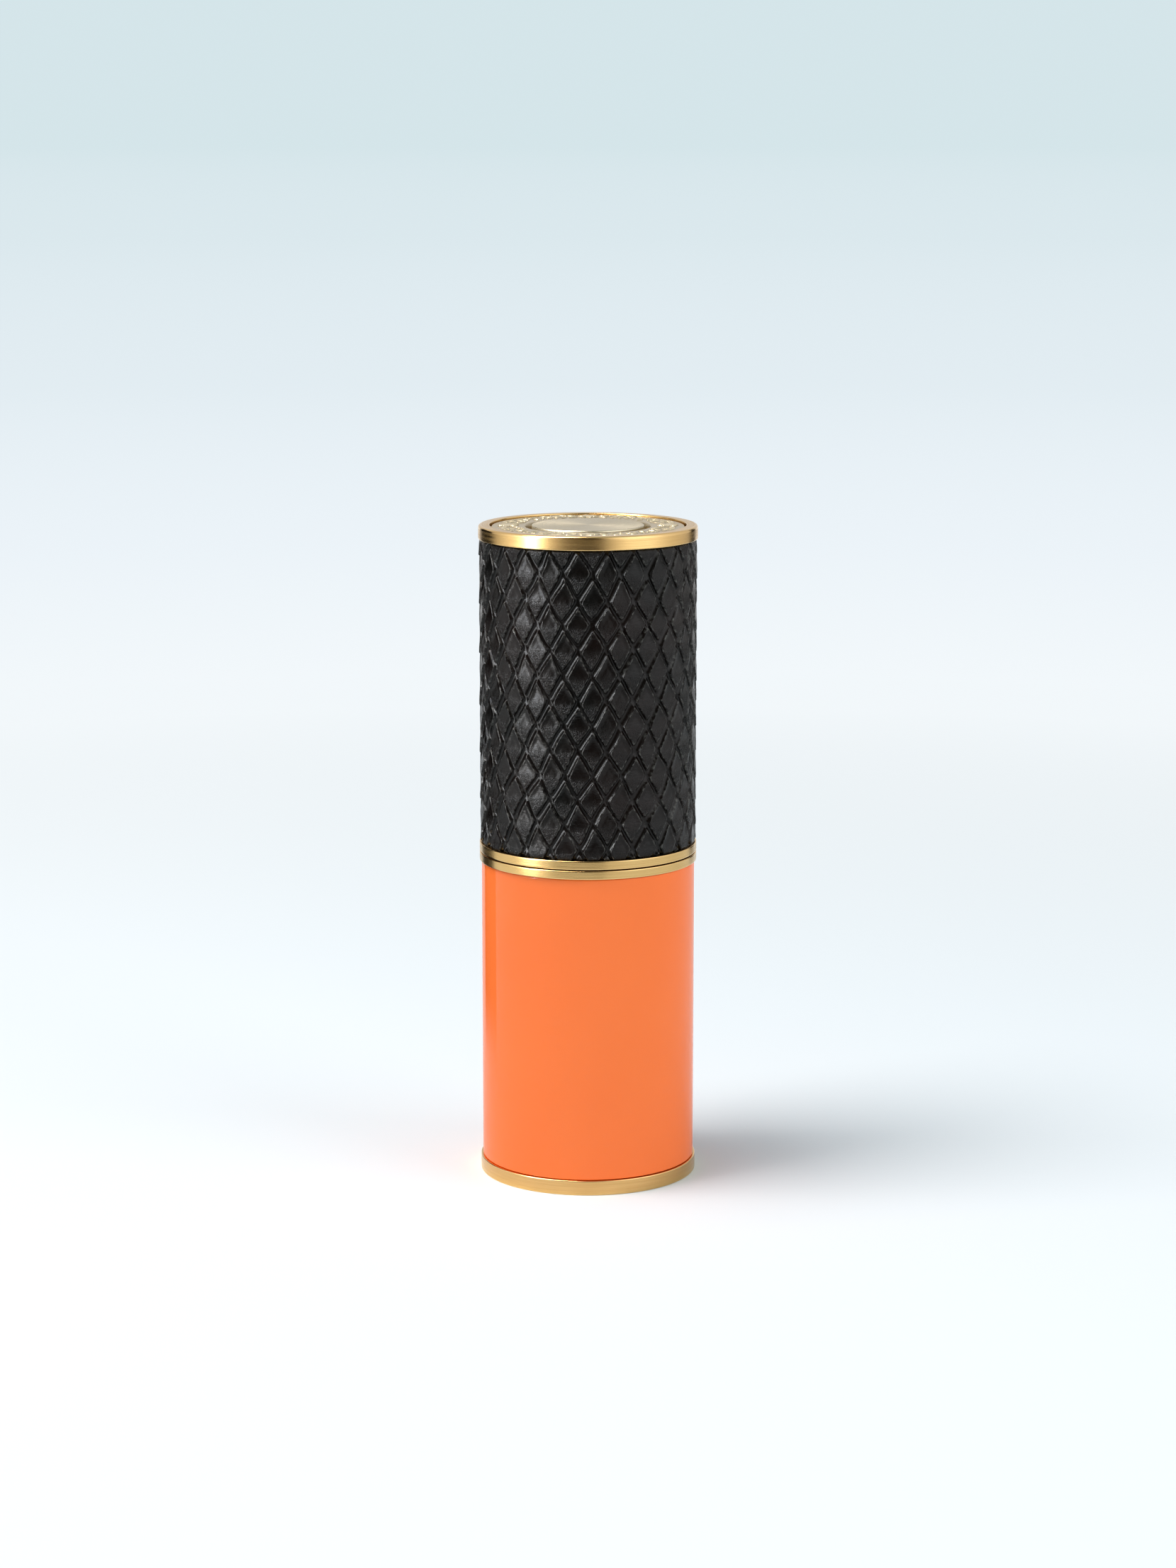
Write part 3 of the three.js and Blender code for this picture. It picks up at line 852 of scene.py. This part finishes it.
class Relief:
    """Heights over the band's ground, on a grid of (along, across) places of one repeat."""

    def __init__(self, along, across):
        self.along = along
        self.across = across
        self.height = np.zeros_like(along)

    def raise_to(self, height):
        self.height = np.maximum(self.height, height)

    def local(self, x, y, degrees):
        angle = math.radians(degrees)
        dx, dy = self.along - x, self.across - y
        return (
            dx * math.cos(angle) + dy * math.sin(angle),
            -dx * math.sin(angle) + dy * math.cos(angle),
        )

    def dome(self, x, y, radius, height):
        p, q = self.local(x, y, 0)
        self.raise_to(height * np.sqrt(np.clip(1 - (p**2 + q**2) / radius**2, 0, 1)))

    def leaf(self, x, y, degrees, length, width, height):
        """A pointed leaf that starts at (x, y), with a crease along its middle."""
        p, q = self.local(x, y, degrees)
        share = np.clip(p / length, 0, 1)
        half = width / 2 * np.sin(np.pi * share**0.75)
        inside = np.clip(1 - np.abs(q) / np.maximum(half, 1e-3), 0, 1)
        body = height * np.minimum(1, 1.9 * np.sqrt(inside)) * (p > 0) * (p < length)
        crease = CREASE_DEPTH * height * np.exp(-((q / CREASE_WIDTH) ** 2))
        self.raise_to(np.maximum(body - crease * (inside > 0), 0))

    def ridge(self, points, width, height):
        """A rounded ridge along points, narrower towards its far end."""
        for i, (one, two) in enumerate(zip(points, points[1:])):
            taper = 1 - RIDGE_TAPER * i / len(points)
            half = width * taper / 2
            step = (two[0] - one[0], two[1] - one[1])
            size = max(step[0] ** 2 + step[1] ** 2, 1e-9)
            t = ((self.along - one[0]) * step[0] + (self.across - one[1]) * step[1]) / size
            t = np.clip(t, 0, 1)
            gap = np.hypot(self.along - one[0] - t * step[0], self.across - one[1] - t * step[1])
            self.raise_to(height * taper * np.sqrt(np.clip(1 - (gap / half) ** 2, 0, 1)))

    def pit(self, x, y, degrees, length, width, depth):
        p, q = self.local(x, y, degrees)
        share = np.clip(1 - (p / (length / 2)) ** 2 - (q / (width / 2)) ** 2, 0, 1)
        self.height = np.where(share > 0, -depth * np.sqrt(share), self.height)


def scroll(x, y, radius, start, turns, hand):
    """Points of a spiral that closes on (x, y)."""
    points = []
    for i in range(SCROLL_STEPS + 1):
        share = i / SCROLL_STEPS
        r = radius * (1 - SCROLL_CLOSING * share)
        angle = math.radians(start) + hand * 2 * math.pi * turns * share
        points.append((x + r * math.cos(angle), y + r * math.sin(angle)))
    return points


def flower(relief, x, y):
    """Petals round a bead, with a pit between each two petals."""
    step = 360 / PETALS
    for k in range(PETALS):
        relief.leaf(x, y, step * k + PETAL_TURN, 1.28, 0.92, RELIEF_HEIGHT * 0.95)
    relief.dome(x, y, 0.34, RELIEF_HEIGHT * 1.05)
    for k in range(PETALS):
        degrees = step * (k + 0.5) + PETAL_TURN
        pit_x = x + 0.98 * math.cos(math.radians(degrees))
        pit_y = y + 0.98 * math.sin(math.radians(degrees))
        relief.pit(pit_x, pit_y, degrees, 0.5, 0.26, PIT_DEPTH)


def side_of_flower(relief, hand):
    """Scrolls, leaves and beads from the flower half way to the next one."""
    relief.leaf(hand * 1.3, 0.35, 90 - hand * 62, 1.5, 0.62, RELIEF_HEIGHT * 0.85)
    relief.leaf(hand * 1.3, -0.35, -90 + hand * 62, 1.35, 0.58, RELIEF_HEIGHT * 0.85)
    relief.pit(hand * 2.05, 0.0, 0, 0.62, 0.3, PIT_DEPTH)
    relief.ridge(scroll(hand * 3.3, 0.42, 0.86, 90 + hand * 80, 1.3, -hand), 0.34, RELIEF_HEIGHT)
    relief.leaf(hand * 2.75, -0.5, -90 + hand * 48, 1.15, 0.5, RELIEF_HEIGHT * 0.8)
    relief.dome(hand * 4.25, -0.95, 0.24, RELIEF_HEIGHT * 0.95)
    relief.ridge(scroll(hand * 5.05, -0.3, 0.8, -90 + hand * 80, 1.25, hand), 0.32, RELIEF_HEIGHT)
    relief.leaf(hand * 4.5, 0.55, 90 - hand * 50, 1.1, 0.5, RELIEF_HEIGHT * 0.85)
    relief.leaf(hand * 5.75, 0.75, 90 - hand * 90, 0.95, 0.42, RELIEF_HEIGHT * 0.8)
    relief.dome(hand * 3.9, 1.18, 0.19, RELIEF_HEIGHT * 0.9)
    relief.pit(hand * 6.25, -0.72, 25 * hand, 0.5, 0.24, SMALL_PIT_DEPTH)


def between_flowers(relief, x):
    relief.leaf(x, -1.05, 90, 1.0, 0.56, RELIEF_HEIGHT * 0.9)
    relief.dome(x, 0.42, 0.27, RELIEF_HEIGHT)
    relief.dome(x, 1.02, 0.19, RELIEF_HEIGHT * 0.9)
    relief.pit(x - 0.5, 0.95, 0, 0.42, 0.22, SMALL_PIT_DEPTH)
    relief.pit(x + 0.5, 0.95, 0, 0.42, 0.22, SMALL_PIT_DEPTH)


def relief_heights(angles, radii):
    """Relief over the whole band: one repeat, seen from the flower at its middle."""
    repeat = 2 * math.pi / REPEATS
    turn = (angles + repeat / 2) % repeat - repeat / 2
    across, along = np.meshgrid(radii - BAND_MIDDLE, turn * BAND_MIDDLE)
    relief = Relief(along, across)
    half = repeat * BAND_MIDDLE / 2
    side_of_flower(relief, 1)
    side_of_flower(relief, -1)
    flower(relief, 0, 0)
    between_flowers(relief, half)
    between_flowers(relief, -half)
    return relief.height


def relief_band():
    radii = np.linspace(BAND_INNER, BAND_OUTER, BAND_RADIAL_STEPS + 1)
    angles = np.arange(BAND_ROUND_STEPS) * 2 * math.pi / BAND_ROUND_STEPS
    heights = relief_heights(angles, radii)
    edge = np.minimum(radii - BAND_INNER, BAND_OUTER - radii)
    rim = BAND_RIM * np.clip(1 - edge / BAND_RIM, 0, 1) ** 2
    ground = CASE_TOP - BAND_GROUND
    bm = bmesh.new()
    layer = bm.verts.layers.float.new("relief")
    rings = []
    for angle, row in zip(angles, heights):
        ring = []
        for radius, height, drop in zip(radii, row, rim):
            z = ground + float(height) - float(drop)
            vert = bm.verts.new((radius * math.cos(angle), radius * math.sin(angle), z))
            vert[layer] = float(height)
            ring.append(vert)
        for radius in (BAND_OUTER, BAND_INNER):
            vert = bm.verts.new((radius * math.cos(angle), radius * math.sin(angle), band_low.z))
            ring.append(vert)
        rings.append(ring)
    for one, two in zip(rings, rings[1:] + rings[:1]):
        for k in range(len(one)):
            n = (k + 1) % len(one)
            bm.faces.new((one[k], one[n], two[n], two[k]))
    return place(bm, "ornament_ring_relief", 60)


stand_for(relief_band(), "ornament_ring", "cap", LOOKS["relief_gold"])

# ------------------------------------------------------------------------- stick of lipstick

STICK_LENGTH = 26.5
FOOT_CHAMFER = 0.3
DOME_HEIGHT = 7.0
DOME_STEPS = 24
SLANT = math.radians(50)
SLANT_OFFSET = 1.2
RIM_SOFTNESS = 0.45
STICK_SEGMENTS = 128
stick_low, stick_high = box_mm("bullet")
STICK_TIP = stick_low.z + STICK_LENGTH


def stick_outline():
    """Outline up to a full dome; the tip's top is above the slant that trims it."""
    radius, foot = stick_high.x, stick_low.z
    shoulder = STICK_TIP - DOME_HEIGHT
    points = [(0, foot), (radius - FOOT_CHAMFER, foot), (radius, foot + FOOT_CHAMFER)]
    # Two mesh lines keep the straight wall's shading away from the dome
    points += [(radius, shoulder - 4), (radius, shoulder - 0.4)]
    for step in range(DOME_STEPS):
        angle = math.pi / 2 * step / DOME_STEPS
        points.append((radius * math.cos(angle), shoulder + DOME_HEIGHT * math.sin(angle)))
    points.append((0, STICK_TIP))
    return [(r, z, 0) for r, z in points]


def stick():
    piece = lathe("bullet_moulded", stick_outline(), STICK_SEGMENTS)
    bm = bmesh.new()
    bm.from_mesh(piece.data)
    cut = bmesh.ops.bisect_plane(
        bm,
        geom=bm.verts[:] + bm.edges[:] + bm.faces[:],
        plane_co=(0, SLANT_OFFSET * MM, STICK_TIP * MM),
        plane_no=(0, -math.sin(SLANT), math.cos(SLANT)),
        clear_outer=True,
    )
    rim = [item for item in cut["geom_cut"] if isinstance(item, bmesh.types.BMEdge)]
    bmesh.ops.contextual_create(bm, geom=rim)
    bmesh.ops.bevel(bm, geom=rim, offset=RIM_SOFTNESS * MM, segments=5, profile=0.5, affect="EDGES")
    bmesh.ops.recalc_face_normals(bm, faces=bm.faces)
    bm.to_mesh(piece.data)
    bm.free()
    piece.data.shade_smooth()
    piece.data.set_sharp_from_angle(angle=math.radians(40))
    return piece


stand_for(stick(), "bullet", "carriage", LOOKS["lipstick_wax"])

# ------------------------------------------------------------------------- camera

LENS = 83.3
CAMERA_BACK = 0.4106
CAMERA_HEIGHT = 0.1225
CAMERA_PITCH = math.radians(10.63)
SENSOR_WIDTH = 36

camera_data = bpy.data.cameras.new("camera")
camera_data.lens = LENS
camera_data.sensor_width = SENSOR_WIDTH
camera_data.clip_start = 0.01
camera = bpy.data.objects.new("camera", camera_data)
camera.location = (0, -CAMERA_BACK, CAMERA_HEIGHT)
camera.rotation_euler = (math.pi / 2 - CAMERA_PITCH, 0, 0)
bpy.context.scene.collection.objects.link(camera)
bpy.context.scene.camera = camera

# ------------------------------------------------------------------------- studio

SKY = (0.665, 0.785, 0.82)
AMBIENT = 0.6
AIM_HEIGHT = 0.03
FLOOR_NEAR = (0.67, 0.735, 0.78)
FLOOR_RADIUS = 12.0
# How much the floor has faded into a glow, and the glow's colour, by distance in metres: painted light
# that dims and turns bluer further off, as the studio light falls off
FADE_LENGTH = 12.0
FLOOR_FADE = ((0.08, (0, 0, 0)), (0.34, (1, 1, 1)))
FLOOR_FAR_GLOW = (
    (0.2, (0.93, 0.965, 0.98)),
    (0.6, (0.84, 0.9, 0.945)),
    (1.2, (0.765, 0.845, 0.89)),
    (3.0, (0.71, 0.81, 0.85)),
    (10.0, SKY),
)
KEY_COLOR = (1.0, 0.89, 0.84)
STRIP_COLOR = (1.0, 1.0, 1.0)
FILL_COLOR = (1.0, 0.97, 0.94)
TENT_RADIUS = 0.42
TENT_STEP = 0.08
TENT_HEIGHT = 0.8
# Powers of the brightness for red, green and blue: what is dim is a little warmer
TENT_TINT = (1.0, 1.06, 1.15)
# Brightness of the tent's wall by azimuth: panels, gaps and the dark side of the room
TENT_WALL = (
    (-180, 1.0),
    (-155, 1.0),
    (-148, 0.04),
    (-119, 0.04),
    (-108, 0.75),
    (-82, 1.3),
    (-67, 1.9),
    (-60, 9.0),
    (-54, 1.9),
    (-40, 0.8),
    (-22, 0.2),
    (0, 0.06),
    (12, 0.12),
    (30, 1.1),
    (45, 1.75),
    (66, 1.7),
    (88, 1.1),
    (128, 0.7),
    (135, 0.05),
    (148, 0.05),
    (153, 1.0),
    (180, 1.0),
)


def azimuth_place(azimuth, distance):
    angle = math.radians(azimuth)
    return distance * math.sin(angle), -distance * math.cos(angle)


def world():
    """A plain sky, dimmer as a light than as the background that is seen."""
    sky = bpy.data.worlds.new("studio")
    bpy.context.scene.world = sky
    sky.use_nodes = True
    nodes, links = sky.node_tree.nodes, sky.node_tree.links
    background = nodes["Background"]
    background.inputs["Color"].default_value = (*SKY, 1)
    strength = nodes.new("ShaderNodeMapRange")
    strength.inputs["To Min"].default_value = AMBIENT
    strength.inputs["To Max"].default_value = 1.0
    links.new(nodes.new("ShaderNodeLightPath").outputs["Is Camera Ray"], strength.inputs["Value"])
    links.new(strength.outputs["Result"], background.inputs["Strength"])


def softbox(name, azimuth, elevation, distance, width, height, watts, color):
    data = bpy.data.lights.new(name, "AREA")
    data.shape = "RECTANGLE"
    data.size = width
    data.size_y = height
    data.energy = watts
    data.color = color
    light = bpy.data.objects.new(name, data)
    lift = math.radians(elevation)
    x, y = azimuth_place(azimuth, distance * math.cos(lift))
    light.location = (x, y, distance * math.sin(lift))
    aim = Vector((0, 0, AIM_HEIGHT)) - light.location
    light.rotation_euler = aim.to_track_quat("-Z", "Y").to_euler()
    light.visible_camera = False
    bpy.context.scene.collection.objects.link(light)
    return light


def wall_strip(name, radius, bottom, top, start, end, steps):
    """An upright wall round the object, from azimuth start to end, that only glossy rays see."""
    bm = bmesh.new()
    columns = []
    for k in range(steps + 1):
        x, y = azimuth_place(start + (end - start) * k / steps, radius)
        columns.append((bm.verts.new((x, y, bottom)), bm.verts.new((x, y, top))))
    for one, two in zip(columns, columns[1:]):
        bm.faces.new((one[0], two[0], two[1], one[1]))
    mesh = bpy.data.meshes.new(name)
    bm.to_mesh(mesh)
    bm.free()
    wall = bpy.data.objects.new(name, mesh)
    bpy.context.scene.collection.objects.link(wall)
    wall.visible_camera = False
    wall.visible_diffuse = False
    wall.visible_shadow = False
    wall.visible_transmission = False
    return wall


class Glow(Nodes):
    """A material that only shines."""

    def __init__(self, name, strength):
        super().__init__(name)
        self.tree.nodes.remove(self.tree.nodes["Principled BSDF"])
        self.emission = self.add("ShaderNodeEmission", {"Strength": strength})
        self.show(self.emission.outputs[0])

    def object_parts(self):
        """The object's x, y and z."""
        object_xyz = self.add("ShaderNodeTexCoord").outputs["Object"]
        return self.add("ShaderNodeSeparateXYZ", {0: object_xyz}).outputs


def share_of_turn(azimuth):
    return (azimuth + 180) / 360


def tent(name, bottom, top, back_level, back_azimuth):
    """A light tent's wall: as bright as its panels by azimuth, and even at its back."""
    wall = wall_strip(name, TENT_RADIUS, bottom, top, -180, 180, 180)
    glow = Glow(name + "_glow", 1.0)
    parts = glow.object_parts()
    azimuth = glow.math("ARCTAN2", parts[0], glow.math("MULTIPLY", parts[1], -1.0))
    share = glow.range(azimuth, 0.0, 1.0, -math.pi, math.pi)
    ramp = glow.add("ShaderNodeValToRGB", {0: share})
    stops = ramp.color_ramp.elements
    for stop_azimuth, _ in TENT_WALL[1:-1]:
        stops.new(share_of_turn(stop_azimuth))
    for stop, (stop_azimuth, level) in zip(stops, TENT_WALL):
        level = back_level if abs(stop_azimuth) > back_azimuth else level
        stop.color = (*(level**power for power in TENT_TINT), 1)
    glow.tree.links.new(ramp.outputs[0], glow.emission.inputs["Color"])
    wall.data.materials.append(glow.material)


def flag(name, radius, start, end, height, foot, level=0.0):
    """A card, black or shining, that thins out downwards between the two heights of foot."""
    wall = wall_strip(name, radius, 0, height, start, end, 8)
    glow = Glow(name + "_card", level)
    solid = glow.add(
        "ShaderNodeMapRange",
        {"Value": glow.object_parts()[2], "From Min": foot[0], "From Max": foot[1]},
        interpolation_type="SMOOTHSTEP",
    )
    clear = glow.add("ShaderNodeBsdfTransparent")
    shaders = {0: solid.outputs[0], 1: clear.outputs[0], 2: glow.emission.outputs[0]}
    glow.show(glow.add("ShaderNodeMixShader", shaders).outputs[0])
    wall.data.materials.append(glow.material)


def by_distance(s, away, stops):
    """A colour ramp over the distance from the object, in metres."""
    ramp = s.add("ShaderNodeValToRGB", {0: s.math("DIVIDE", away, FADE_LENGTH)})
    elements = ramp.color_ramp.elements
    for distance, color in stops:
        elements.new(distance / FADE_LENGTH).color = (*color, 1)
    elements.remove(elements[0])
    elements.remove(elements[-1])
    return ramp.outputs[0]


def floor():
    """A pale floor whose far part is a glow with the light's falloff painted in, fading into the sky's
    colour.
    """
    bm = bmesh.new()
    bmesh.ops.create_circle(bm, cap_ends=True, radius=FLOOR_RADIUS, segments=96)
    mesh = bpy.data.meshes.new("floor")
    bm.to_mesh(mesh)
    bm.free()
    plane = bpy.data.objects.new("floor", mesh)
    bpy.context.scene.collection.objects.link(plane)
    s = Surface("floor_paper_far_glow", FLOOR_NEAR, Roughness=1.0, Specular_IOR_Level=0.0)
    away = s.add("ShaderNodeVectorMath", {0: s.object_xyz}, operation="LENGTH").outputs["Value"]
    fade = by_distance(s, away, FLOOR_FADE)
    # Painted light: the far floor glows, dimmer and bluer further off
    glow = s.add("ShaderNodeEmission", {"Color": by_distance(s, away, FLOOR_FAR_GLOW), "Strength": 1.0})
    blend = s.add("ShaderNodeMixShader", {0: fade, 1: s.shader.outputs[0], 2: glow.outputs[0]})
    s.show(blend.outputs[0])
    mesh.materials.append(s.material)


world()
tent("tent_low", bottom=0, top=TENT_STEP, back_level=1.0, back_azimuth=150)
tent("tent_high", bottom=TENT_STEP, top=TENT_HEIGHT, back_level=0.75, back_azimuth=112)
flag("flag_left", radius=0.05, start=-137, end=-107, height=0.09, foot=(0, 0.012))
flag("flag_right", radius=0.05, start=123, end=136, height=0.09, foot=(0.026, 0.031))
# Two cards that the leather reflects: a black one in front, a bright one beside it
flag("card_front", radius=0.2, start=-38, end=18, height=0.035, foot=(0, 0.003))
flag("card_left", radius=0.2, start=-70, end=-53, height=0.034, foot=(0.002, 0.009), level=11.0)
floor()
softbox("key_left", -72, 66, distance=0.65, width=0.28, height=0.4, watts=4.4, color=KEY_COLOR)
softbox("fill_right", 58, 28, distance=0.65, width=0.4, height=0.3, watts=1.35, color=FILL_COLOR)
strip = softbox(
    "strip_left", -61, 20, distance=0.6, width=0.045, height=0.34, watts=6.0, color=STRIP_COLOR
)
strip.visible_diffuse = False
bpy.context.scene.view_settings.view_transform = "Standard"
